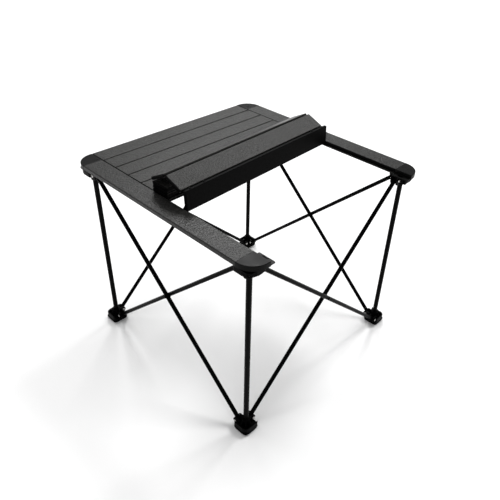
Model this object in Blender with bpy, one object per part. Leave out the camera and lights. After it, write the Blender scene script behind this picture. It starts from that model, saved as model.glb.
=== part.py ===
"""Camp kitchen table: a slatted roll-top on a square scissor frame, with its front half folded back.

Metres, +Z up. X runs along the slats, -Y is the front, and the origin is on the floor under the
centre of the top. The frame has fourfold symmetry about Z, so its feet, hubs and struts are made
once, for the front-left corner and the front side, and turned by quarter turns.
"""
import math

import bmesh
import bpy
from mathutils import Matrix, Quaternion, Vector

for stale in list(bpy.data.objects):
    bpy.data.objects.remove(stale, do_unlink=True)

# ---------------------------------------------------------------- driving dimensions
TABLE_W = 0.400             # overall width, along the slats
TABLE_H = 0.340             # floor to the top surface
SLAT_COUNT = 12
SLAT_PITCH = 0.034125       # slat to slat; 12 of them make the 409.5 mm depth
GAP = 0.0003                # clearance between pieces that touch
TABLE_D = SLAT_COUNT * SLAT_PITCH

# top: rails, corners and slats
TOP_T = 0.0079              # thickness of a rail and of a corner
RAIL_W = 0.033
RAIL_END = 0.174            # half length of a rail, where its corners begin
RAIL_WALL = 0.0013
RAIL_ROUND = 0.0014         # outer edge radius
LEDGE_T = 0.0015            # ledge that the slat ends lie on
LEDGE_REACH = 0.004
SPIGOT_LENGTH = 0.012       # corner's tongue inside the rail
CORNER_RADIUS = 0.029
CORNER_EDGE = 0.0007
TONGUE_REACH = 0.010        # corner's inward tongue under the end slat
SLOT_X, SLOT_Y = 0.0054, 0.0098
SLOT_INSET = 0.0385         # slot centre, in from the side
SEAT_W, SEAT_T = 0.016, 0.0021    # square pad that stands on the hub
SEAT_IN = 0.0008            # from the joint with the rail to the seat

SLAT_LENGTH = 0.3302
SLAT_T = 0.0055
SLAT_GAP = 0.0016
SLAT_WALL = 0.0009
SLAT_ROUND = 0.0010
SLAT_CHAMBERS = 3
PEG_X, PEG_Y, PEG_DEPTH = 0.0038, 0.0082, 0.0024

# front half of the mat: hinge line under the knuckle of slats 6 and 7, and the lay of the bundle
KNUCKLE_Y = 0.0045          # slack in the cords lets slat 7 lie this much further back
FOLD_RISE = 0.00015         # hinge lines lie this far outside a slat's face
BUNDLE_SKEW = 2.3           # degrees that the bundle lies askew on the top
FOLD_TURNS = (180.0, -180.0, 152.0, 51.3, 62.9)     # slats 8 to 12, each against the one before
LAST_HINGE_AHEAD = 0.0110   # slack hinge of slat 12, ahead of slat 11's edge
LAST_HINGE_DEEP = 0.0029

# frame
LEG_AXIS = 0.1804           # leg centre lines, from the middle of the table, both ways
LEG_RADIUS, LEG_WALL = 0.0043, 0.0009
LEG_BOTTOM, LEG_TOP = 0.0078, 0.3246
STRUT_RADIUS, STRUT_WALL = 0.0035, 0.0009
STRUT_PLANE = 0.00375       # outer and inner struts, each side of the leg plane
STRUT_ANGLE = 42.75         # degrees from level when open
HINGE_INSET = 0.013         # strut hinges, inward from the leg axis
HINGE_MID_Z = 0.167         # height of the crossing

# foot and hub mouldings
PAD_T = 0.0020
FOOT_W = 0.029
FOOT_OUTER_R, FOOT_R = 0.0085, 0.0045
FOOT_PLATE_TOP = 0.0075
FOOT_WALL_TOP = 0.0140
FOOT_COLLAR_TOP = 0.0237
HUB_W = 0.033
HUB_TOP = 0.3297
HUB_PLATE_T = 0.0026
HUB_WALL_BOTTOM = 0.3205
HUB_COLLAR_BOTTOM = 0.3114
HUB_LUG_BOTTOM = 0.3122
WALL_T = 0.0020             # outer walls of both mouldings
COLLAR_RADIUS = 0.0066
COLLAR_FOOT_RADIUS = 0.0080     # where the collar meets its plate
COLLAR_SIDES = 16
LUG_RADIUS = 0.0055
LUG_ROOT = 0.0060           # where a fork's cheeks leave the collar
CHEEK_T = 0.0025
CHEEK_GAP = 0.0078          # between the two cheeks of a fork
PIN_RADIUS = 0.0016
PIN_HEAD_RADIUS, PIN_HEAD_T = 0.0028, 0.0009
LATCH_T = 0.0022            # hook beside the leg that holds the frame open
LATCH_DROP = 0.0040

SPAN_X = LEG_AXIS - HINGE_INSET
SPAN_Z = SPAN_X * math.tan(math.radians(STRUT_ANGLE))
STRUT_HALF = math.hypot(SPAN_X, SPAN_Z)
HINGE_LOW_Z = HINGE_MID_Z - SPAN_Z
HINGE_HIGH_Z = HINGE_MID_Z + SPAN_Z

CORNERS = ("front_left", "front_right", "back_right", "back_left")
SIDES = ("front", "right", "back", "left")      # side k runs from corner k to corner k + 1


# ---------------------------------------------------------------- materials
def paint(name, colour, roughness, metallic=0.0):
    mat = bpy.data.materials.new(name)
    mat.use_nodes = True
    shader = mat.node_tree.nodes["Principled BSDF"]
    shader.inputs["Base Color"].default_value = (*colour, 1.0)
    shader.inputs["Roughness"].default_value = roughness
    shader.inputs["Metallic"].default_value = metallic
    mat.diffuse_color = (*colour, 1.0)
    return mat


SLAT_PAINT = paint("slat_paint", (0.10, 0.10, 0.092), 0.55)
RAIL_PAINT = paint("rail_paint", (0.12, 0.12, 0.112), 0.50)
CORNER_PLASTIC = paint("corner_plastic", (0.055, 0.055, 0.055), 0.60)
TUBE_PAINT = paint("tube_paint", (0.006, 0.006, 0.007), 0.32)
JOINT_PLASTIC = paint("joint_plastic", (0.012, 0.012, 0.013), 0.50)
PAD_RUBBER = paint("pad_rubber", (0.010, 0.010, 0.010), 0.85)
RIVET_STEEL = paint("rivet_steel", (0.45, 0.45, 0.44), 0.35, 1.0)


# ---------------------------------------------------------------- shape helpers
def arc(cx, cy, radius, start, stop, steps):
    """Points along an arc, angles in degrees."""
    turns = [math.radians(start + (stop - start) * i / steps) for i in range(steps + 1)]
    return [(cx + radius * math.cos(t), cy + radius * math.sin(t)) for t in turns]


def round_box(x0, y0, x1, y1, radii, steps=2):
    """Rounded rectangle; radii run from the (x0, y0) corner anticlockwise."""
    spots = ((x0, y0, 1, 1, 180), (x1, y0, -1, 1, 270), (x1, y1, -1, -1, 0), (x0, y1, 1, -1, 90))
    points = []
    for (x, y, ux, uy, start), r in zip(spots, radii):
        points += arc(x + ux * r, y + uy * r, r, start, start + 90, steps) if r else [(x, y)]
    return points


def finish(bm, name, smooth=True):
    bmesh.ops.remove_doubles(bm, verts=bm.verts, dist=1e-7)
    bmesh.ops.recalc_face_normals(bm, faces=bm.faces)
    mesh = bpy.data.meshes.new(name)
    bm.to_mesh(mesh)
    bm.free()
    if smooth:
        mesh.shade_smooth()
        mesh.set_sharp_from_angle(angle=math.radians(35))
    return mesh


def prism(name, loops, low, high, axes="XYZ"):
    """Extrude an outline, and any holes in it, between two levels of the third axis in axes."""
    bm = bmesh.new()
    columns = {"X": 0, "Y": 1, "Z": 2}
    u, v, w = (columns[a] for a in axes)
    edges = []
    for loop in loops:
        ring = []
        for a, b in loop:
            spot = [0.0, 0.0, 0.0]
            spot[u], spot[v], spot[w] = a, b, low
            ring.append(bm.verts.new(spot))
        edges += [bm.edges.new((ring[i - 1], ring[i])) for i in range(len(ring))]
    if len(loops) == 1:
        faces = [bm.faces.new(ring)]
    else:
        filled = bmesh.ops.triangle_fill(bm, use_beauty=True, use_dissolve=False, edges=edges)
        faces = [g for g in filled["geom"] if isinstance(g, bmesh.types.BMFace)]
    grown = bmesh.ops.extrude_face_region(bm, geom=faces, use_keep_orig=True)
    lift = Vector((0, 0, 0))
    lift[w] = high - low
    moved = [g for g in grown["geom"] if isinstance(g, bmesh.types.BMVert)]
    bmesh.ops.translate(bm, verts=moved, vec=lift)
    return finish(bm, name)


def turned(name, profile, segments, axis="Z"):
    """Revolve a closed profile of (radius, height) points; height runs along the axis."""
    bm = bmesh.new()
    spins = {"X": (Vector((1, 0, 0)), lambda r, h: (h, r, 0)),
             "Y": (Vector((0, 1, 0)), lambda r, h: (r, h, 0)),
             "Z": (Vector((0, 0, 1)), lambda r, h: (r, 0, h))}
    direction, spot = spins[axis]
    ring = [bm.verts.new(spot(r, h)) for r, h in profile]
    closed = all(r > 0 for r, _ in profile)
    pairs = zip(ring, ring[1:] + ring[:1]) if closed else zip(ring, ring[1:])
    edges = [bm.edges.new(pair) for pair in pairs]
    bmesh.ops.spin(bm, geom=ring + edges, cent=(0, 0, 0), axis=direction,
                   angle=2 * math.pi, steps=segments, use_merge=True)
    return finish(bm, name)


def rod(name, radius, low, high, segments, axis="Z"):
    return turned(name, [(0, low), (radius, low), (radius, high), (0, high)], segments, axis)


def moved(mesh, x=0.0, y=0.0, z=0.0):
    mesh.transform(Matrix.Translation((x, y, z)))
    return mesh


def combine(body, tools, operation):
    """Join or cut a mesh with others, one after another, and return the resulting mesh."""
    for tool in tools:
        subject = bpy.data.objects.new("subject", body)
        cutter = bpy.data.objects.new("cutter", tool)
        for obj in (subject, cutter):
            bpy.context.scene.collection.objects.link(obj)
        step = subject.modifiers.new("step", "BOOLEAN")
        step.operation = operation
        step.solver = "EXACT"
        step.object = cutter
        graph = bpy.context.evaluated_depsgraph_get()
        result = bpy.data.meshes.new_from_object(subject.evaluated_get(graph))
        result.name = body.name
        for obj in (subject, cutter):
            bpy.data.objects.remove(obj, do_unlink=True)
        body = result
    bm = bmesh.new()
    bm.from_mesh(body)
    bmesh.ops.dissolve_limit(bm, angle_limit=math.radians(0.5), verts=bm.verts, edges=bm.edges)
    bmesh.ops.triangulate(bm, faces=bm.faces)
    return finish(bm, body.name)


# ---------------------------------------------------------------- placing
WORLD = {}


def place(obj, parent, world):
    """Parent an object and put it at a world matrix."""
    WORLD[obj.name] = world
    obj.parent = parent
    above = WORLD[parent.name] if parent else Matrix.Identity(4)
    obj.rotation_mode = "QUATERNION"
    spot, turn, _ = (above.inverted() @ world).decompose()
    obj.location, obj.rotation_quaternion = spot, turn
    bpy.context.scene.collection.objects.link(obj)
    return obj


def axis_at(name, parent, world):
    """Empty whose origin lies on a joint's axis."""
    empty = bpy.data.objects.new(name, None)
    empty.empty_display_size = 0.01
    return place(empty, parent, world)


def piece(name, mesh, mat, parent, world):
    """One sub-part; copies of a repeated piece share their mesh."""
    if not mesh.materials:
        mesh.materials.append(mat)
    return place(bpy.data.objects.new(name, mesh), parent, world)


def quarter(k):
    return Matrix.Rotation(math.radians(90 * k), 4, "Z")


# ---------------------------------------------------------------- frame mouldings
def fork(offset, hinge_z, foot_side):
    """Two cheeks of a fork that reaches along +X from the leg axis, and the hole through both."""
    nose = HINGE_INSET + LUG_RADIUS
    if foot_side:
        low, high = FOOT_PLATE_TOP - 0.001, hinge_z + LUG_RADIUS
        outline = [(LUG_ROOT, low), (nose - 0.003, low), (nose, low + 0.004)]
        outline += arc(HINGE_INSET, hinge_z, LUG_RADIUS, 0, 90, 3) + [(LUG_ROOT, high)]
    else:
        high = HUB_TOP - HUB_PLATE_T / 2
        outline = [(LUG_ROOT, HUB_LUG_BOTTOM)]
        outline += arc(nose - 0.006, HUB_LUG_BOTTOM + 0.005, 0.005, -90, -15, 3)
        outline += [(nose, hinge_z), (nose - 0.0015, high), (LUG_ROOT, high)]
    cheeks = []
    for side in (-1, 1):
        near = offset + side * CHEEK_GAP / 2
        far = near + side * CHEEK_T
        cheeks.append(prism("cheek", [outline], min(near, far), max(near, far), "XZY"))
    hole = rod("hole", PIN_RADIUS + GAP, offset - 0.009, offset + 0.009, 8, "Y")
    return cheeks, moved(hole, x=HINGE_INSET, z=hinge_z)


def swap_xy(mesh):
    """Mirror a mesh in the line x = y, which turns a fork along +X into one along +Y."""
    mesh.transform(Matrix(((0, 1, 0, 0), (1, 0, 0, 0), (0, 0, 1, 0), (0, 0, 0, 1))))
    mesh.flip_normals()
    return mesh


def moulding(shell, pocket, shapes, socket, forks):
    """Hollow out the shell, add the collar and the forks, and bore the socket and the rivet holes."""
    adds, cuts = list(shapes), [socket]
    for k, (cheeks, hole) in enumerate(forks):
        adds += [swap_xy(c) if k else c for c in cheeks]
        cuts.append(swap_xy(hole) if k else hole)
    shell = combine(shell, [pocket], "DIFFERENCE")
    return combine(combine(shell, adds, "UNION"), cuts, "DIFFERENCE")


def open_pocket(half, low, high):
    """Space inside the two outer walls, open towards the table's middle."""
    near, far = -half + WALL_T, half + 0.01
    return prism("pocket", [round_box(near, near, far, far, (0.0055, 0, 0, 0), 3)], low, high)


def foot_mesh():
    half = FOOT_W / 2
    radii = (FOOT_OUTER_R, FOOT_R, FOOT_R, FOOT_R)
    shell = prism("foot", [round_box(-half, -half, half, half, radii, 3)], PAD_T + GAP, FOOT_WALL_TOP)
    pocket = open_pocket(half, FOOT_PLATE_TOP, FOOT_WALL_TOP + 0.01)
    base = FOOT_PLATE_TOP - 0.001
    collar = turned("collar", [(0, base), (COLLAR_FOOT_RADIUS, base),
                               (COLLAR_FOOT_RADIUS, base + 0.002), (COLLAR_RADIUS, base + 0.0045),
                               (COLLAR_RADIUS, FOOT_COLLAR_TOP - 0.0006),
                               (COLLAR_RADIUS - 0.0006, FOOT_COLLAR_TOP), (0, FOOT_COLLAR_TOP)],
                    COLLAR_SIDES)
    socket = rod("socket", LEG_RADIUS + GAP, LEG_BOTTOM - GAP, FOOT_COLLAR_TOP + 0.01, COLLAR_SIDES)
    forks = [fork(STRUT_PLANE, HINGE_LOW_Z, True), fork(-STRUT_PLANE, HINGE_LOW_Z, True)]
    return moulding(shell, pocket, [collar], socket, forks)


def latch_mesh():
    """Hook that hangs on the outer side of the leg collar."""
    x, low = -COLLAR_RADIUS - LATCH_T - 0.0004, HUB_COLLAR_BOTTOM - 0.0002
    high = HUB_TOP - HUB_PLATE_T / 2
    outline = [(-0.0015, high), (-0.0015, low + LATCH_DROP), (-0.0035, low + 0.0030),
               (-0.0030, low + 0.0008), (-0.0010, low), (0.0014, low + 0.0006),
               (0.0026, low + 0.0030), (0.0026, high)]
    return prism("latch", [outline], x, x + LATCH_T, "YZX")


def hub_mesh():
    half = HUB_W / 2
    shell = prism("hub", [round_box(-half, -half, half, half, (0.014, 0.005, 0.005, 0.005), 3)],
                  HUB_WALL_BOTTOM, HUB_TOP)
    pocket = open_pocket(half, HUB_WALL_BOTTOM - 0.01, HUB_TOP - HUB_PLATE_T)
    roof = HUB_TOP - HUB_PLATE_T / 2
    collar = turned("collar", [(0, HUB_COLLAR_BOTTOM), (COLLAR_RADIUS - 0.0006, HUB_COLLAR_BOTTOM),
                               (COLLAR_RADIUS, HUB_COLLAR_BOTTOM + 0.0006), (COLLAR_RADIUS, roof - 0.0050),
                               (COLLAR_FOOT_RADIUS, roof - 0.0025), (COLLAR_FOOT_RADIUS, roof), (0, roof)],
                    COLLAR_SIDES)
    socket = rod("socket", LEG_RADIUS + GAP, HUB_COLLAR_BOTTOM - 0.01, LEG_TOP + GAP, COLLAR_SIDES)
    forks = [fork(-STRUT_PLANE, HINGE_HIGH_Z, False), fork(STRUT_PLANE, HINGE_HIGH_Z, False)]
    return moulding(shell, pocket, [collar, latch_mesh()], socket, forks)


def tube(name, radius, wall, low, high, segments, axis):
    return turned(name, [(radius - wall, low), (radius, low), (radius, high), (radius - wall, high)],
                  segments, axis)


def rivet(name, reach, segments=8):
    """Headed pin along Y; reach is the distance from its middle to the underside of a head."""
    tip = reach + PIN_HEAD_T
    half = [(0, tip), (PIN_HEAD_RADIUS * 0.8, tip), (PIN_HEAD_RADIUS, reach), (PIN_RADIUS, reach)]
    return turned(name, [(r, -h) for r, h in half] + half[::-1], segments, "Y")


def strut_mesh():
    """Tube along X with domed mouths, a rivet through each end and a hole at the crossing."""
    bore = STRUT_RADIUS - STRUT_WALL
    dome_stop = math.degrees(math.acos(bore / STRUT_RADIUS))
    dome = [(STRUT_RADIUS * math.cos(math.radians(t)), STRUT_HALF + STRUT_RADIUS * math.sin(math.radians(t)))
            for t in (0, dome_stop)]
    profile = dome + [(r, -h) for r, h in reversed(dome)]
    body = turned("strut", profile, 14, "X")
    reach = CHEEK_GAP / 2 + CHEEK_T + GAP
    pins = [moved(rivet("pin", reach), x=end * STRUT_HALF) for end in (-1, 1)]
    crossing = rod("crossing", PIN_RADIUS + GAP, -0.01, 0.01, 8, "Y")
    return combine(combine(body, pins, "UNION"), [crossing], "DIFFERENCE")


# ---------------------------------------------------------------- frame assembly
foot, hub, strut = foot_mesh(), hub_mesh(), strut_mesh()
half_pad = FOOT_W / 2 - GAP
pad_outline = round_box(-half_pad, -half_pad, half_pad, half_pad, (FOOT_OUTER_R, FOOT_R, FOOT_R, FOOT_R))
pad = prism("pad", [pad_outline], 0.0, PAD_T)
leg = tube("leg", LEG_RADIUS, LEG_WALL, LEG_BOTTOM, LEG_TOP, 20, "Z")
crossing_pin = rivet("crossing_pin", STRUT_PLANE + STRUT_RADIUS + GAP)


def corner_spot(k, z=0.0):
    return quarter(k) @ Matrix.Translation((-LEG_AXIS, -LEG_AXIS, z))


def strut_spot(k, outer):
    """World matrix of a strut's middle on side k: outer struts fall to the right seen from outside."""
    lay = 1 if outer else -1
    tilt = Matrix.Rotation(math.radians(lay * STRUT_ANGLE), 4, "Y")
    return quarter(k) @ Matrix.Translation((0, -LEG_AXIS - lay * STRUT_PLANE, HINGE_MID_Z)) @ tilt


def hinge_spot(k, outer, high):
    """World position of the hinge at the top or bottom end of a side's outer or inner strut."""
    at_left = outer == high
    x = -SPAN_X if at_left else SPAN_X
    y = -LEG_AXIS - (STRUT_PLANE if outer else -STRUT_PLANE)
    return quarter(k) @ Matrix.Translation((x, y, HINGE_HIGH_Z if high else HINGE_LOW_Z))


def add_foot(k, parent):
    name = CORNERS[k]
    piece("foot_" + name, foot, JOINT_PLASTIC, parent, corner_spot(k))
    piece("foot_pad_" + name, pad, PAD_RUBBER, parent, corner_spot(k))
    piece("leg_" + name, leg, TUBE_PAINT, parent, corner_spot(k))


def add_hub(k, parent):
    piece("hub_" + CORNERS[k], hub, JOINT_PLASTIC, parent, corner_spot(k))


def add_scissor(k, base, base_outer):
    """Both struts of side k, hung on a base at the foot of one of them; returns their axes."""
    kinds = {True: "outer", False: "inner"}
    first = axis_at("axis_%s_%s" % (SIDES[k], kinds[base_outer]), base, hinge_spot(k, base_outer, False))
    middle = quarter(k) @ Matrix.Translation((0, -LEG_AXIS, HINGE_MID_Z))
    second = axis_at("axis_%s_crossing" % SIDES[k], first, middle)
    piece("strut_%s_%s" % (SIDES[k], kinds[base_outer]), strut, TUBE_PAINT, first,
          strut_spot(k, base_outer))
    piece("strut_%s_%s" % (SIDES[k], kinds[not base_outer]), strut, TUBE_PAINT, second,
          strut_spot(k, not base_outer))
    piece("crossing_pin_" + SIDES[k], crossing_pin, RIVET_STEEL, first, middle)
    return first, second


def end_axis(name, parent, k, outer, high):
    return axis_at("axis_" + name, parent, hinge_spot(k, outer, high))


FRONT, RIGHT, BACK, LEFT = range(4)
ground = axis_at("ground", None, Matrix.Identity(4))
add_foot(0, ground)
front_in, front_out = add_scissor(FRONT, ground, False)
base_fr = end_axis("foot_front_right", front_out, FRONT, True, False)
add_foot(1, base_fr)
add_hub(1, end_axis("hub_front_right", front_in, FRONT, False, True))
lead_hub = end_axis("hub_front_left", front_out, FRONT, True, True)
add_hub(0, lead_hub)
left_out, left_in = add_scissor(LEFT, ground, True)
base_bl = end_axis("foot_back_left", left_in, LEFT, False, False)
add_foot(3, base_bl)
add_hub(3, end_axis("hub_back_left", left_out, LEFT, True, True))
right_in, right_out = add_scissor(RIGHT, base_fr, False)
add_foot(2, end_axis("foot_back_right", right_out, RIGHT, True, False))
add_hub(2, end_axis("hub_back_right", right_in, RIGHT, False, True))
add_scissor(BACK, base_bl, True)


# ---------------------------------------------------------------- top: rails and corners
top = axis_at("top", lead_hub, Matrix.Translation((0, 0, TABLE_H)))
side = TABLE_W / 2
rail_in = side - RAIL_W

rail_outline = ([(rail_in - LEDGE_REACH, -TOP_T), (side - RAIL_ROUND, -TOP_T)]
                + arc(side - RAIL_ROUND, -TOP_T + RAIL_ROUND, RAIL_ROUND, -90, 0, 3)[1:]
                + arc(side - RAIL_ROUND, -RAIL_ROUND, RAIL_ROUND, 0, 90, 3)
                + [(rail_in + 0.0004, 0.0), (rail_in, -0.0004), (rail_in, -TOP_T + LEDGE_T),
                   (rail_in - LEDGE_REACH, -TOP_T + LEDGE_T)])
room = (rail_in + RAIL_WALL, -TOP_T + RAIL_WALL, side - RAIL_WALL, -RAIL_WALL)
rail_room = round_box(*room, (0, 0, 0, 0))
rail_end = RAIL_END - GAP / 2
for sign, name in ((-1, "rail_left"), (1, "rail_right")):
    mirrored = [[(sign * x, z) for x, z in loop] for loop in (rail_outline, rail_room)]
    piece(name, prism(name, mirrored, -rail_end, rail_end, "XZY"), RAIL_PAINT, top, WORLD["top"])


def corner_mesh(name, sx, sy):
    """Corner of the top: plate, spigot into the rail, tongue under the end slat, seat on the hub."""
    depth = TABLE_D / 2
    start_y = RAIL_END + GAP / 2
    round_x, round_y = side - CORNER_RADIUS, depth - CORNER_RADIUS
    curve = arc(round_x, round_y, CORNER_RADIUS, 0, 90, 12)
    outline = [(rail_in, start_y), (side, start_y)] + curve + [(rail_in, depth)]
    plate = prism(name, [outline], -TOP_T, -CORNER_EDGE)
    inner = [(min(x, side - CORNER_EDGE), min(y, depth - CORNER_EDGE)) for x, y in outline]
    shrink = (CORNER_RADIUS - CORNER_EDGE) / CORNER_RADIUS
    inner[2:-1] = [(round_x + (x - round_x) * shrink, round_y + (y - round_y) * shrink) for x, y in curve]
    bm = bmesh.new()
    bm.from_mesh(plate)
    bm.faces.ensure_lookup_table()
    cap = max(bm.faces, key=lambda f: f.calc_center_median().z)
    bmesh.ops.delete(bm, geom=[cap], context="FACES_ONLY")
    rim = [min(bm.verts, key=lambda v: (v.co - Vector((x, y, -CORNER_EDGE))).length) for x, y in outline]
    crown = [bm.verts.new((x, y, 0.0)) for x, y in inner]
    for i in range(len(rim)):
        bm.faces.new((rim[i - 1], rim[i], crown[i], crown[i - 1]))
    bm.faces.new(crown)
    plate = finish(bm, name)
    x0, z0, x1, z1 = room
    spigot = prism("spigot", [[(x0 + GAP, z0 + GAP), (x1 - GAP, z0 + GAP), (x1 - GAP, z1 - GAP),
                               (x0 + GAP, z1 - GAP)]], start_y - SPIGOT_LENGTH, start_y + 0.004, "XZY")
    tongue_outline = round_box(rail_in - TONGUE_REACH, start_y + 0.0005, rail_in + 0.004,
                               depth - 0.0008, (0.0015, 0, 0, 0.0015))
    slot_x, slot_y = side - SLOT_INSET, depth - SLAT_PITCH / 2
    slot = round_box(slot_x - SLOT_X / 2, slot_y - SLOT_Y / 2, slot_x + SLOT_X / 2, slot_y + SLOT_Y / 2,
                     (0, 0, 0, 0))
    tongue = prism("tongue", [tongue_outline, slot], -TOP_T + 0.0001, -TOP_T + LEDGE_T)
    seat_x, seat_y = LEG_AXIS - SEAT_W / 2, start_y + SEAT_IN
    seat = prism("seat", [round_box(seat_x, seat_y, seat_x + SEAT_W, seat_y + SEAT_W, (0.002,) * 4, 2)],
                 -TOP_T - SEAT_T, -TOP_T + 0.002)
    whole = combine(plate, [spigot, tongue, seat], "UNION")
    whole.transform(Matrix.Diagonal((sx, sy, 1, 1)))
    if sx * sy < 0:
        whole.flip_normals()
    return whole


for name, sx, sy in zip(CORNERS, (-1, 1, 1, -1), (-1, -1, 1, 1)):
    label = "corner_" + name
    piece(label, corner_mesh(label, sx, sy), CORNER_PLASTIC, top, WORLD["top"])


# ---------------------------------------------------------------- top: slats
def slat_mesh(name, pegs):
    """Ribbed box extrusion along X, its top face at z = 0 and its middle at y = 0."""
    half = (SLAT_PITCH - SLAT_GAP) / 2
    outline = round_box(-half, -SLAT_T, half, 0, (SLAT_ROUND,) * 4, 2)
    inside = 2 * half - 2 * SLAT_WALL
    step = (inside + SLAT_WALL) / SLAT_CHAMBERS
    loops = [outline]
    for i in range(SLAT_CHAMBERS):
        left = -half + SLAT_WALL + i * step
        loops.append(round_box(left, -SLAT_T + SLAT_WALL, left + step - SLAT_WALL, -SLAT_WALL,
                               (0, 0, 0, 0)))
    body = prism(name, loops, -SLAT_LENGTH / 2, SLAT_LENGTH / 2, "YZX")
    if not pegs:
        return body
    x = side - SLOT_INSET
    pair = []
    for sign in (-1, 1):
        box = round_box(sign * x - PEG_X / 2, -PEG_Y / 2, sign * x + PEG_X / 2, PEG_Y / 2, (0, 0, 0, 0))
        pair.append(prism("peg", [box], -SLAT_T - PEG_DEPTH, -SLAT_T + 0.0004))
    return combine(body, pair, "UNION")


plain_slat, end_slat = slat_mesh("slat", False), slat_mesh("end_slat", True)


def slat_y(number):
    return TABLE_D / 2 - (number - 0.5) * SLAT_PITCH


def seam_y(number):
    """Middle of the gap between a slat and the one behind it, both lying flat."""
    return TABLE_D / 2 - (number - 1) * SLAT_PITCH


def add_slat(number, parent, hinge):
    """Slat on its hinge empty; hinge is the (y, z) of that axis with the whole mat flat."""
    mesh = end_slat if number in (1, SLAT_COUNT) else plain_slat
    offset = Matrix.Translation((0, slat_y(number) - hinge[0], -hinge[1]))
    piece("slat_%02d" % number, mesh, SLAT_PAINT, parent, WORLD[parent.name] @ offset)


def next_hinge(number, parent, before, hinge, turn):
    """Empty on the axis of a slat, carried by the slat behind it and turned about X."""
    step = Matrix.Translation((0, hinge[0] - before[0], hinge[1] - before[1]))
    return axis_at("hinge_%02d" % number, parent, WORLD[parent.name] @ step @ turn)


over, under = FOLD_RISE, -SLAT_T - FOLD_RISE
flat = (0.0, 0.0)
add_slat(1, top, flat)

carrier, before = top, flat
for number in range(2, 6):
    hinge = (seam_y(number), over if number % 2 == 0 else under)
    carrier = next_hinge(number, carrier, before, hinge, Matrix.Identity(4))
    add_slat(number, carrier, hinge)
    before = hinge
add_slat(6, carrier, before)

half_skew = math.radians(BUNDLE_SKEW / 2)
knuckle = (KNUCKLE_Y, over)
flip = Quaternion((math.cos(half_skew), math.sin(half_skew), 0), -math.pi).to_matrix().to_4x4()
carrier = next_hinge(7, carrier, before, knuckle, flip)
add_slat(7, carrier, knuckle)
before = knuckle
for number, degrees in zip(range(8, 13), FOLD_TURNS):
    hinge = (seam_y(number), over if number == 9 else under)
    if number == SLAT_COUNT:
        hinge = (seam_y(number) + SLAT_GAP / 2 - LAST_HINGE_AHEAD, -LAST_HINGE_DEEP)
    turn = Matrix.Rotation(math.radians(degrees), 4, "X")
    carrier = next_hinge(number, carrier, before, hinge, turn)
    add_slat(number, carrier, hinge)
    before = hinge
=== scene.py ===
"""Looks of the camp kitchen table: finishes, small trim, floor, light and camera around its frame."""
import math

import bmesh
import bpy
import numpy as np
from mathutils import Matrix, Vector


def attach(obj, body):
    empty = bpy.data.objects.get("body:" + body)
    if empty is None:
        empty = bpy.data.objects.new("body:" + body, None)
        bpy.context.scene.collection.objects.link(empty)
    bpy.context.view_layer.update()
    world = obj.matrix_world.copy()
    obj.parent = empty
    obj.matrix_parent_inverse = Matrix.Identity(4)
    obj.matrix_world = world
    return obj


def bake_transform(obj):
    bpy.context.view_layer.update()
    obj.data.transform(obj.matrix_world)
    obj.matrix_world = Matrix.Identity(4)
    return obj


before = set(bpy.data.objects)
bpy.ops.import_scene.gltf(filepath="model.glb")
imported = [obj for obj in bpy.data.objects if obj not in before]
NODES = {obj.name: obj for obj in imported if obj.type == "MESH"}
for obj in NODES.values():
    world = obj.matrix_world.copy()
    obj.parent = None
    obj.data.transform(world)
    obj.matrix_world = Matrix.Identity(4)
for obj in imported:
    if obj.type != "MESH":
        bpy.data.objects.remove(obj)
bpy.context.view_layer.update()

# ---------------------------------------------------------------- sizes shared with the frame
TABLE_H = 0.340                     # top face of the rails and of the slats that lie flat
LEG_AXIS = 0.1804                   # a leg's axis from the table's middle, along X and along Y
HINGE_INSET = 0.013                 # a strut's end hinge from the leg beside it
HINGE_MID_Z = 0.167                 # height at which the struts cross
STRUT_PLANE = 0.00375               # a strut's own plane from the plane of the leg axes
STRUT_ANGLE = math.radians(42.75)
SPAN_X = LEG_AXIS - HINGE_INSET     # from the crossing to an end hinge, level and upright
SPAN_Z = SPAN_X * math.tan(STRUT_ANGLE)
SLAT_COUNT = 12
SLAT_PITCH, SLAT_W, SLAT_T, SLAT_LENGTH = 0.034125, 0.032525, 0.0055, 0.3302
TABLE_D = SLAT_COUNT * SLAT_PITCH
CORNERS = ("front_left", "front_right", "back_right", "back_left")
CORNER_SIGNS = ((-1, -1), (1, -1), (1, 1), (-1, 1))
SIDES = ("front", "right", "back", "left")
BOTH_ENDS = (("a", 0), ("b", math.pi))      # the two faces of a rivet, half a turn apart
FRAME_SHARP, TRIM_SHARP = math.radians(30), math.radians(35)    # edges sharper than this stay crisp


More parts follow.
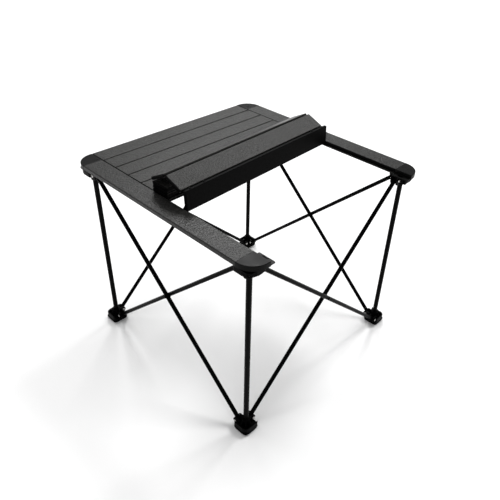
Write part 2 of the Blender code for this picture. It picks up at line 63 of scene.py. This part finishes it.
# ---------------------------------------------------------------- materials
class Finish:
    """Small builder for a procedural Principled material."""

    def __init__(self, name, colour, roughness, specular, metallic=0.0):
        self.mat = bpy.data.materials.new(name)
        self.mat.use_nodes = True
        self.tree = self.mat.node_tree
        self.shader = self.tree.nodes["Principled BSDF"]
        self.colour, self.rough = colour, roughness
        values = {"Base Color": (*colour, 1.0), "Roughness": roughness, "Metallic": metallic,
                  "Specular IOR Level": specular}
        for socket, value in values.items():
            self.shader.inputs[socket].default_value = value
        self.coords = self.tree.nodes.new("ShaderNodeTexCoord").outputs["Object"]

    def link(self, a, b):
        self.tree.links.new(a, b)

    def noise(self, per_metre, detail=4.0, rough=0.55, stretch=None):
        node = self.tree.nodes.new("ShaderNodeTexNoise")
        node.inputs["Scale"].default_value = per_metre
        node.inputs["Detail"].default_value = detail
        node.inputs["Roughness"].default_value = rough
        self.link(self.stretched(stretch), node.inputs["Vector"])
        return node.outputs["Fac"]

    def cells(self, per_metre):
        node = self.tree.nodes.new("ShaderNodeTexVoronoi")
        node.feature = "SMOOTH_F1"
        node.inputs["Scale"].default_value = per_metre
        self.link(self.coords, node.inputs["Vector"])
        return node.outputs["Distance"]

    def stretched(self, stretch):
        """Object coordinates, drawn out where a factor in stretch is small."""
        if not stretch:
            return self.coords
        node = self.tree.nodes.new("ShaderNodeMapping")
        node.inputs["Scale"].default_value = stretch
        self.link(self.coords, node.inputs["Vector"])
        return node.outputs["Vector"]

    def remap(self, value, low, high, out_low, out_high):
        node = self.tree.nodes.new("ShaderNodeMapRange")
        for key, number in zip(("From Min", "From Max", "To Min", "To Max"), (low, high, out_low, out_high)):
            node.inputs[key].default_value = number
        self.link(value, node.inputs["Value"])
        return node.outputs["Result"]

    def tint(self, pattern, low, high, amount, colour):
        """Mix another colour in where a pattern rises from low to high, on top of what is there."""
        factor = self.remap(pattern, low, high, 0.0, amount)
        node = self.tree.nodes.new("ShaderNodeMix")
        node.data_type = "RGBA"
        base = self.shader.inputs["Base Color"]
        if base.is_linked:
            self.link(base.links[0].from_socket, node.inputs["A"])
        else:
            node.inputs["A"].default_value = (*self.colour, 1.0)
        node.inputs["B"].default_value = (*colour, 1.0)
        self.link(factor, node.inputs["Factor"])
        self.link(node.outputs["Result"], base)

    def roughen(self, pattern, spread):
        """Let the roughness follow a pattern, by spread to either side."""
        rough = self.remap(pattern, 0.3, 0.7, self.rough - spread, self.rough + spread)
        self.link(rough, self.shader.inputs["Roughness"])

    def bump(self, height, distance):
        """Relief of a depth in metres, on top of any that is there."""
        node = self.tree.nodes.new("ShaderNodeBump")
        node.inputs["Distance"].default_value = distance
        node.inputs["Strength"].default_value = 1.0
        normal = self.shader.inputs["Normal"]
        if normal.is_linked:
            self.link(normal.links[0].from_socket, node.inputs["Normal"])
        self.link(height, node.inputs["Height"])
        self.link(node.outputs["Normal"], normal)


def shade(colour, factor):
    return tuple(c * factor for c in colour)


def hammertone(name, colour, roughness, specular, depth, speck):
    """Wrinkled powder coat over metal: shallow cells, fine grain, pale flecks and faint rubbing."""
    f = Finish(name, colour, roughness, specular)
    cells = f.cells(430.0)
    grain = f.noise(560.0, rough=0.65)
    broad = f.noise(22.0)
    f.tint(broad, 0.35, 0.7, 0.45, shade(colour, 0.72))
    f.tint(grain, 0.54, 0.72, min(speck, 1.0), shade(colour, 1.0 + 2.6 * speck))
    scuffs = f.noise(60.0, 6.0, 0.7, stretch=(1.0, 9.0, 9.0))
    f.tint(scuffs, 0.66, 0.8, 0.2, shade(colour, 1.7))
    f.roughen(grain, 0.08)
    f.bump(cells, depth)
    f.bump(grain, depth * 0.5)
    return f.mat


def moulded(name, colour, roughness, specular):
    """Moulded nylon: fine spark-eroded grain, cloudy sheen and a few grey rub marks."""
    f = Finish(name, colour, roughness, specular)
    grain = f.noise(2600.0, 2.0)
    cloud = f.noise(45.0, 5.0)
    rub = f.noise(240.0, 6.0, 0.75)
    f.tint(cloud, 0.4, 0.75, 0.5, shade(colour, 1.5))
    f.tint(rub, 0.66, 0.8, 0.3, shade(colour, 3.0))
    f.roughen(cloud, 0.06)
    f.bump(grain, 0.00004)
    return f.mat


def tubing(name, colour, roughness, specular):
    """Satin black coat on drawn tube: orange-peel surface, dust and fine rub marks."""
    f = Finish(name, colour, roughness, specular)
    peel = f.noise(420.0, 2.0)
    rub = f.noise(130.0, 7.0, 0.75)
    dust = f.noise(30.0)
    f.tint(dust, 0.4, 0.75, 0.6, shade(colour, 1.8))
    f.tint(rub, 0.64, 0.78, 0.35, shade(colour, 5.0))
    f.roughen(rub, 0.1)
    f.bump(peel, 0.00003)
    return f.mat


def rubber(name, colour):
    """Matt black rubber: fine pores under patches of grey dust."""
    f = Finish(name, colour, 0.85, 0.25)
    f.tint(f.noise(300.0, 6.0), 0.45, 0.7, 0.6, shade(colour, 2.4))
    f.bump(f.noise(1800.0, 3.0), 0.00008)
    return f.mat


def steel(name):
    """Plain rivet steel with darker stains and fine scratches."""
    f = Finish(name, (0.55, 0.54, 0.52), 0.32, 0.5, metallic=1.0)
    f.tint(f.noise(900.0, 5.0), 0.45, 0.75, 0.7, (0.30, 0.29, 0.27))
    f.roughen(f.noise(1200.0, 3.0), 0.12)
    f.bump(f.noise(2200.0, 2.0), 0.00002)
    return f.mat


SLAT = hammertone("slat_coat", (0.016, 0.0158, 0.0148), 0.33, 0.11, 0.00042, 1.2)
# painted shade: the front slat has the slats' own coat, made near-black because its face is turned away from
# the light
SLAT_FRONT_PAINTED_SHADE = hammertone("front_slat_painted_shade_coat", (0.0022, 0.0022, 0.0022), 0.50, 0.02, 0.00012, 0.8)
RAIL = hammertone("rail_coat", (0.010, 0.0099, 0.0093), 0.33, 0.125, 0.00040, 1.6)
CORNER = moulded("corner_nylon", (0.0030, 0.0030, 0.0029), 0.31, 0.048)
JOINT = moulded("joint_nylon", (0.0010, 0.0010, 0.0011), 0.34, 0.02)
TUBE = tubing("tube_coat", (0.0006, 0.0006, 0.0007), 0.26, 0.016)
LEG = tubing("leg_coat", (0.0014, 0.0013, 0.0012), 0.28, 0.03)
RUBBER = rubber("pad_rubber", (0.0024, 0.0024, 0.0024))
STEEL = steel("rivet_steel")
CAP = moulded("cap_nylon", (0.0010, 0.0010, 0.0011), 0.40, 0.02)
ELASTIC = rubber("elastic_cord", (0.0040, 0.0040, 0.0040))


# ---------------------------------------------------------------- mesh helpers
def arc(cx, cy, radius, start, stop, steps):
    turns = [math.radians(start + (stop - start) * i / steps) for i in range(steps + 1)]
    return [(cx + radius * math.cos(t), cy + radius * math.sin(t)) for t in turns]


def round_box(half_x, half_y, r, steps):
    """Rectangle about the origin, with its corners rounded to r."""
    x, y = half_x - r, half_y - r
    return (arc(-x, -y, r, 180, 270, steps) + arc(x, -y, r, 270, 360, steps)
            + arc(x, y, r, 0, 90, steps) + arc(-x, y, r, 90, 180, steps))


def rectangle(x0, y0, x1, y1):
    return [(x0, y0), (x1, y0), (x1, y1), (x0, y1)]


def finish_mesh(bm, name):
    bmesh.ops.remove_doubles(bm, verts=bm.verts, dist=1e-7)
    bmesh.ops.recalc_face_normals(bm, faces=bm.faces)
    mesh = bpy.data.meshes.new(name)
    bm.to_mesh(mesh)
    bm.free()
    mesh.shade_smooth()
    mesh.set_sharp_from_angle(angle=TRIM_SHARP)
    return mesh


def prism(name, outline, low, high, axes="XYZ", edge=0.0):
    """Extrude an outline along the third axis in axes, with its edges rounded over by edge."""
    bm = bmesh.new()
    u, v, w = ("XYZ".index(a) for a in axes)
    ring = []
    for a, b in outline:
        spot = [0.0, 0.0, 0.0]
        spot[u], spot[v], spot[w] = a, b, low
        ring.append(bm.verts.new(spot))
    face = bm.faces.new(ring)
    grown = bmesh.ops.extrude_face_region(bm, geom=[face], use_keep_orig=True)
    lift = Vector((0, 0, 0))
    lift[w] = high - low
    far_end = [g for g in grown["geom"] if isinstance(g, bmesh.types.BMVert)]
    bmesh.ops.translate(bm, vec=lift, verts=far_end)
    bmesh.ops.recalc_face_normals(bm, faces=bm.faces)
    if edge:
        rims = [e for e in bm.edges if e.is_manifold and e.calc_face_angle() > math.radians(40)]
        bmesh.ops.bevel(bm, geom=rims, offset=edge, segments=2, profile=0.5, affect="EDGES",
                        clamp_overlap=True)
    return finish_mesh(bm, name)


def turned(name, profile, segments, axis="Z"):
    """Revolve (radius, height) points about Y or Z; a profile off the axis closes on itself."""
    bm = bmesh.new()
    if axis == "Y":
        ring = [bm.verts.new((r, h, 0)) for r, h in profile]
    else:
        ring = [bm.verts.new((r, 0, h)) for r, h in profile]
    closed = all(r > 0 for r, _ in profile)
    pairs = zip(ring, ring[1:] + ring[:1]) if closed else zip(ring, ring[1:])
    edges = [bm.edges.new(pair) for pair in pairs]
    direction = Vector((0, 1, 0)) if axis == "Y" else Vector((0, 0, 1))
    bmesh.ops.spin(bm, geom=ring + edges, cent=(0, 0, 0), axis=direction, angle=2 * math.pi,
                   steps=segments, use_merge=True)
    return finish_mesh(bm, name)


def add(name, data):
    obj = bpy.data.objects.new(name, data)
    bpy.context.scene.collection.objects.link(obj)
    return obj


def put(name, mesh, mat, body, world=Matrix.Identity(4)):
    """Place one piece and let it ride on its body; copies share their mesh."""
    if not mesh.materials:
        mesh.materials.append(mat)
    obj = add(name, mesh)
    obj.matrix_world = world
    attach(obj, body)


def quarter(k):
    return Matrix.Rotation(math.radians(90 * k), 4, "Z")


def spun(angle):
    return Matrix.Rotation(angle, 4, "Z")


def at(x, y, z):
    return Matrix.Translation((x, y, z))


# ---------------------------------------------------------------- finishes on the frame's own solids
def dress(node, mat):
    obj = NODES[node]
    obj.data.materials.clear()
    obj.data.materials.append(mat)
    obj.data.shade_smooth()
    obj.data.set_sharp_from_angle(angle=FRAME_SHARP)


for n in range(1, SLAT_COUNT + 1):
    # the front slat takes the painted-shade copy of the slat coat
    dress("slat_%02d" % n, SLAT_FRONT_PAINTED_SHADE if n == SLAT_COUNT else SLAT)
for name in ("left", "right"):
    dress("rail_" + name, RAIL)
for name in CORNERS:
    dress("corner_" + name, CORNER)
    dress("hub_" + name, JOINT)
    dress("foot_" + name, JOINT)
    dress("foot_pad_" + name, RUBBER)
    dress("leg_" + name, LEG)
for name in SIDES:
    dress("crossing_pin_" + name, JOINT)
    for lay in ("outer", "inner"):
        dress("strut_%s_%s" % (name, lay), TUBE)


# ---------------------------------------------------------------- rivet heads and washers of the struts
def strut_rivets():
    """Steel heads on both faces of the rivet at each end of each strut, dimpled in the middle."""
    head = turned("rivet_head", [(0, 0.0075), (0.0011, 0.0086), (0.0021, 0.0083), (0.0027, 0.0076)], 20, "Y")
    for k, side in enumerate(SIDES):
        for lay in ("outer", "inner"):
            plane = -STRUT_PLANE if lay == "outer" else STRUT_PLANE
            for level in ("top", "foot"):
                x = -SPAN_X if (lay == "outer") == (level == "top") else SPAN_X
                z = HINGE_MID_Z + (SPAN_Z if level == "top" else -SPAN_Z)
                spot = quarter(k) @ at(x, plane - LEG_AXIS, z)
                for end, turn in BOTH_ENDS:
                    put("rivet_%s_%s_%s_%s" % (side, lay, level, end), head, STEEL,
                        "strut_%s_%s" % (side, lay), spot @ spun(turn))


def crossing_trim():
    """Spacing washer between crossing struts, and the two heads of the rivet through them."""
    washer = turned("washer", rectangle(0.0017, -0.0002, 0.0042, 0.0002), 24, "Y")
    pin_head = turned("pin_head", [(0, 0.0091), (0.0015, 0.0088), (0.0026, 0.0082), (0.0030, 0.0074),
                                   (0, 0.0074)], 20, "Y")
    for k, side in enumerate(SIDES):
        lead = "outer" if side in ("left", "back") else "inner"
        body = "strut_%s_%s" % (side, lead)
        middle = quarter(k) @ at(0, -LEG_AXIS, HINGE_MID_Z)
        put("washer_" + side, washer, JOINT, body, middle)
        for end, turn in BOTH_ENDS:
            put("pin_head_%s_%s" % (side, end), pin_head, JOINT, body, middle @ spun(turn))


# ---------------------------------------------------------------- foot and hub trim
FOOT_HALF, HUB_HALF = 0.0145, 0.0165            # half widths of the mouldings
FOOT_BEAD, HUB_BEAD = 0.0006, 0.0005            # how far their beads stand out
SOLE_LIP_Z, HUB_BRIM_Z = (0.0022, 0.0040), (0.3283, 0.3296)
RIB_HALF_T, COLLAR_INNER, COLLAR_OUTER = 0.0007, 0.0060, 0.0072
FOOT_RING_Z, HUB_RING_Z = 0.0214, 0.3120        # undersides of the rings round the leg


def rib(name, reach, base, wall_end, collar_end):
    """Upright rib from a moulding's wall to its collar, taller at the collar."""
    outline = [(-reach, base), (-COLLAR_INNER, base), (-COLLAR_INNER, collar_end),
               (-COLLAR_OUTER, collar_end), (-reach, wall_end)]
    return prism(name, outline, -RIB_HALF_T, RIB_HALF_T, "XZY", 0.0003)


def corner_trim():
    """Beads round the mouldings, ribs from wall to collar and a ring on each collar.

    The pieces are drawn about a leg's axis, with the table's middle towards +X and +Y.
    """
    lip = prism("sole_lip", round_box(FOOT_HALF + FOOT_BEAD, FOOT_HALF + FOOT_BEAD, 0.006, 5),
                *SOLE_LIP_Z, edge=0.0006)
    brim = prism("hub_brim", round_box(HUB_HALF + HUB_BEAD, HUB_HALF + HUB_BEAD, 0.0085, 5),
                 *HUB_BRIM_Z, edge=0.0004)
    foot_rib = rib("foot_gusset", 0.0128, base=0.0072, wall_end=0.0132, collar_end=0.0222)
    hub_rib = rib("hub_gusset", 0.0148, base=0.3275, wall_end=0.3210, collar_end=0.3140)
    ring = turned("collar_ring", [(COLLAR_INNER, 0.0), (COLLAR_OUTER, 0.0), (COLLAR_OUTER + 0.0002, 0.0006),
                                  (COLLAR_OUTER, 0.0012), (COLLAR_INNER, 0.0012)], 32)
    for k, name in enumerate(CORNERS):
        home = quarter(k) @ at(-LEG_AXIS, -LEG_AXIS, 0)
        foot = "base_front_left" if name == "front_left" else "foot_" + name
        hub = "hub_" + name
        put("sole_lip_" + name, lip, JOINT, foot, home)
        put("hub_brim_" + name, brim, JOINT, hub, home)
        for i, degrees in enumerate((0, 45, 90)):
            turn = home @ spun(math.radians(degrees))
            put("foot_gusset_%s_%d" % (name, i), foot_rib, JOINT, foot, turn)
            put("hub_gusset_%s_%d" % (name, i), hub_rib, JOINT, hub, turn)
        put("foot_ring_" + name, ring, JOINT, foot, home @ at(0, 0, FOOT_RING_Z))
        put("hub_ring_" + name, ring, JOINT, hub, home @ at(0, 0, HUB_RING_Z))


# ---------------------------------------------------------------- painted shade strips on the rails, and wells of the top
# the strips below paint the shade of each rail's inner wall
RAIL_INNER_X, SHADE_STRIP_T, SHADE_STRIP_SINK = 0.167, 0.0004, 0.0001
SHADE_STRIP_TOP, SHADE_STRIP_BOTTOM = TABLE_H - 0.0006, TABLE_H - 0.0060
SHADE_STRIP_HALF_LENGTH = 0.1736
SLOT_X, SLOT_Y = 0.1615, TABLE_D / 2 - SLAT_PITCH / 2       # middle of a corner's peg slot
WELL_HALF_X, WELL_HALF_Y = 0.0042, 0.0066
WELL_Z = (TABLE_H - 0.0094, TABLE_H - 0.0081)


def rail_shade_strips():
    """Painted shade: a thin black strip on the inner face of each rail, beside the slat ends, darkening the
    wall as shade would.
    """
    for sign, name in ((-1, "left"), (1, "right")):
        near, far = sorted((sign * (RAIL_INNER_X - SHADE_STRIP_T), sign * (RAIL_INNER_X + SHADE_STRIP_SINK)))
        strip = prism("shade_strip_" + name, rectangle(near, SHADE_STRIP_BOTTOM, far, SHADE_STRIP_TOP),
                      -SHADE_STRIP_HALF_LENGTH, SHADE_STRIP_HALF_LENGTH, "XZY")
        put("rail_shade_strip_" + name, strip, CAP, "top")


def slot_wells():
    """Floor of the pocket that the pegs of the end slats drop into."""
    well = prism("slot_well", round_box(WELL_HALF_X, WELL_HALF_Y, 0.0010, 3), *WELL_Z, edge=0.0003)
    for name, (sx, sy) in zip(CORNERS, CORNER_SIGNS):
        put("slot_well_" + name, well, CAP, "top", at(sx * SLOT_X, sy * SLOT_Y, 0))


# ---------------------------------------------------------------- slat trim, with painted shade in the seams
FACE_DOWN = (7, 9)                              # slats of the bundle that lie with their tops down
LIP_REACH, LIP_T, FACING = 0.0012, 0.0010, 0.0003
# height of the black facing that paints shade on a slat's edge
SEAM_SHADE_BOTTOM, SEAM_SHADE_TOP = -0.0018, 0.0023
CAP_T, CAP_GAP, CAP_MARGIN = 0.0012, 0.0001, 0.0002
PLUG_HALF_W, PLUG_HALF_H, PLUG_PITCH = 0.0042, 0.0014, 0.0105
PLUG_INNER, PLUG_OUTER = 0.0005, 0.00135        # where a plug starts and ends, past the slat's end


def slat_body(number):
    return {1: "top", 5: "slat_05_06", 6: "slat_05_06"}.get(number, "slat_%02d" % number)


def slat_frame(number):
    """Frame of a slat, from its own solid: X along it, Y across it, Z through it, origin at its middle."""
    points = np.array([v.co for v in NODES["slat_%02d" % number].data.vertices])
    _, axes = np.linalg.eigh(np.cov(points.T))
    along, across = axes[:, 2], axes[:, 1]
    along = along * (1 if along[0] > 0 else -1)
    across = across * (1 if (across[1] + 0.1 * across[2] > 0) != (number in FACE_DOWN) else -1)
    through = np.cross(along, across)
    reach = points @ along
    ends = points[np.abs(reach - (reach.max() + reach.min()) / 2) > SLAT_LENGTH / 2 - 0.001]
    middle = sum(axis * ((ends @ axis).max() + (ends @ axis).min()) / 2 for axis in (along, across, through))
    return at(*middle) @ Matrix(np.array((along, across, through)).T.tolist()).to_4x4()


FRAMES = {n: slat_frame(n) for n in range(1, SLAT_COUNT + 1)}


def slat_trim():
    """A thin black facing on one long edge and a lip standing out of the other, near-black as painted shade
    of the seams between slats, and a cap with three plugs on each end.
    """
    edge, end = SLAT_W / 2, SLAT_LENGTH / 2
    seam_shade = prism("seam_shade_facing", rectangle(edge - FACING, SEAM_SHADE_BOTTOM, edge + FACING, SEAM_SHADE_TOP), -end, end,
                 "YZX")
    lip = prism("seam_lip_painted_shade", rectangle(-edge - LIP_REACH, -LIP_T / 2, -edge + FACING, LIP_T / 2), -end, end,
                "YZX", 0.0002)
    cap = prism("slat_cap", round_box(edge - CAP_MARGIN, SLAT_T / 2 - CAP_MARGIN, 0.0009, 3),
                end + CAP_GAP, end + CAP_T, "YZX", 0.0003)
    plug = prism("slat_plug", round_box(PLUG_HALF_W, PLUG_HALF_H, 0.0008, 3), end + PLUG_INNER,
                 end + PLUG_OUTER, "YZX", 0.0003)
    for n, home in FRAMES.items():
        # painted shade: black facing on the slat's edge that darkens the seam
        put("seam_seal_%02d" % n, seam_shade, CAP, slat_body(n), home)
        if n < SLAT_COUNT:
            # lip in the seam; its near-black colour is painted shade of the seam
            put("seam_lip_%02d" % n, lip, CAP, slat_body(n), home)
        for side, turn in (("right", 0), ("left", math.pi)):
            spot = home @ spun(turn)
            put("slat_cap_%02d_%s" % (n, side), cap, CAP, slat_body(n), spot)
            for i in range(3):
                put("slat_plug_%02d_%s_%d" % (n, side, i), plug, CAP, slat_body(n),
                    spot @ at(0, (i - 1) * PLUG_PITCH, 0))


# ---------------------------------------------------------------- cords from slat to slat
CORD_RADIUS, CORD_SINK = 0.0009, 0.0035
CORD_X = (0.128, 0.155)
CORD_SEAMS = (1, 2, 3, 4, 5, 10, 11)            # the fully folded seams hold their cords inside
CORD_SLACK, CORD_PULL_MAX = 0.0004, 0.006
CORD_STEPS, CORD_SIDES = 12, 10


def cord_path(number, x):
    """Smooth way from the front edge of a slat to the back edge of the next one, sunk into both."""
    ends = []
    for n, side in ((number, -1), (number + 1, 1)):
        home = FRAMES[n]
        edge = side * SLAT_W / 2
        ends.append((home @ Vector((x, edge - side * CORD_SINK, 0)), home @ Vector((x, edge, 0)),
                     (home.to_3x3() @ Vector((0, side, 0))).normalized()))
    (sink_a, edge_a, out_a), (sink_b, edge_b, out_b) = ends
    pull = min(0.5 * (edge_b - edge_a).length + CORD_SLACK, CORD_PULL_MAX)
    knots = (edge_a, edge_a + pull * out_a, edge_b + pull * out_b, edge_b)
    path = [sink_a, edge_a]
    for i in range(1, CORD_STEPS):
        t = i / CORD_STEPS
        weights = ((1 - t) ** 3, 3 * t * (1 - t) ** 2, 3 * t * t * (1 - t), t ** 3)
        path.append(sum((w * k for w, k in zip(weights, knots)), Vector()))
    return path + [edge_b, sink_b]


def cord(number, x, name):
    """Elastic cord across one seam, as a closed tube round its path."""
    path = cord_path(number, x)
    side = (FRAMES[number].to_3x3() @ Vector((1, 0, 0))).normalized()
    turns = [2 * math.pi * j / CORD_SIDES for j in range(CORD_SIDES)]
    bm = bmesh.new()
    rings = []
    for i, point in enumerate(path):
        along = (path[min(i + 1, len(path) - 1)] - path[max(i - 1, 0)]).normalized()
        up = along.cross(side).normalized()
        across = up.cross(along)
        rings.append([bm.verts.new(point + CORD_RADIUS * (math.cos(t) * across + math.sin(t) * up))
                      for t in turns])
    for low, high in zip(rings, rings[1:]):
        for j in range(CORD_SIDES):
            bm.faces.new((low[j - 1], low[j], high[j], high[j - 1]))
    bm.faces.new(rings[0])
    bm.faces.new(rings[-1])
    mesh = finish_mesh(bm, name)
    mesh.materials.append(ELASTIC)
    obj = add(name, mesh)
    a, b = slat_body(number), slat_body(number + 1)
    if a == b:
        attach(obj, a)
    else:
        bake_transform(obj)


def cords():
    for n in CORD_SEAMS:
        for x in CORD_X:
            for sign, side in ((-1, "left"), (1, "right")):
                cord(n, sign * x, "cord_%02d_%s_%d" % (n, side, round(x * 1000)))


strut_rivets()
corner_trim()
crossing_trim()
rail_shade_strips()
slot_wells()
slat_trim()
cords()


# ---------------------------------------------------------------- floor, light and camera
FLOOR_HALF, FLOOR_DROP = 9.0, 0.0004
LAMP_DISTANCE, WORLD_STRENGTH = 3.0, 0.52


def floor():
    """Wide sheet of pale paper just under the soles."""
    f = Finish("floor_paper", (0.86, 0.86, 0.86), 0.9, 0.1)
    f.bump(f.noise(400.0, 3.0), 0.0001)
    bm = bmesh.new()
    bmesh.ops.create_grid(bm, x_segments=8, y_segments=8, size=FLOOR_HALF)
    mesh = finish_mesh(bm, "floor")
    mesh.materials.append(f.mat)
    obj = add("floor", mesh)
    obj.location.z = -FLOOR_DROP


def surroundings():
    """Even white light from all around."""
    world = bpy.data.worlds.new("studio")
    bpy.context.scene.world = world
    world.use_nodes = True
    background = world.node_tree.nodes["Background"]
    background.inputs["Color"].default_value = (1.0, 1.0, 1.0, 1.0)
    background.inputs["Strength"].default_value = WORLD_STRENGTH


def lamp(name, towards, spread, strength):
    """Soft light from very far away; towards is the direction it comes from, spread its width in degrees."""
    data = bpy.data.lights.new(name, "SUN")
    data.angle, data.energy = math.radians(spread), strength
    obj = add(name, data)
    obj.location = Vector(towards) * LAMP_DISTANCE
    obj.rotation_mode = "QUATERNION"
    obj.rotation_quaternion = Vector(towards).to_track_quat("Z", "Y")


floor()
surroundings()
lamp("key", (0.05, 0.48, 0.87), 24.0, 1.0)
lamp("top_sheen", (0.50, 0.53, 0.69), 18.0, 1.5)
lamp("bundle_sheen", (0.61, -0.02, 0.79), 20.0, 1.7)
bpy.context.scene.view_settings.view_transform = "Standard"

AZIMUTH, ELEVATION, ROLL = (math.radians(v) for v in (-48.294, 34.853, 2.794))
AIM, DISTANCE = Vector((0.0246, -0.0306, 0.1914)), 0.97555
SENSOR_MM, LENS_MM = 36.0, 39.14064
SHIFT_X, SHIFT_Y = -0.0402, -0.019              # in parts of the sensor's width
NEAREST = 0.01


def camera():
    """Camera at AIM plus DISTANCE, looking at AIM from azimuth and elevation, slightly rolled."""
    back = Vector((math.sin(AZIMUTH) * math.cos(ELEVATION), -math.cos(AZIMUTH) * math.cos(ELEVATION),
                   math.sin(ELEVATION)))
    across = (-back).cross(Vector((0, 0, 1))).normalized()
    above = across.cross(-back)
    right = math.cos(ROLL) * across + math.sin(ROLL) * above
    up = -math.sin(ROLL) * across + math.cos(ROLL) * above
    lens = bpy.data.cameras.new("camera")
    lens.sensor_width, lens.lens = SENSOR_MM, LENS_MM
    lens.shift_x, lens.shift_y = SHIFT_X, SHIFT_Y
    lens.clip_start = NEAREST
    obj = add("camera", lens)
    obj.matrix_world = at(*(AIM + DISTANCE * back)) @ Matrix((right, up, back)).transposed().to_4x4()
    bpy.context.scene.camera = obj


camera()
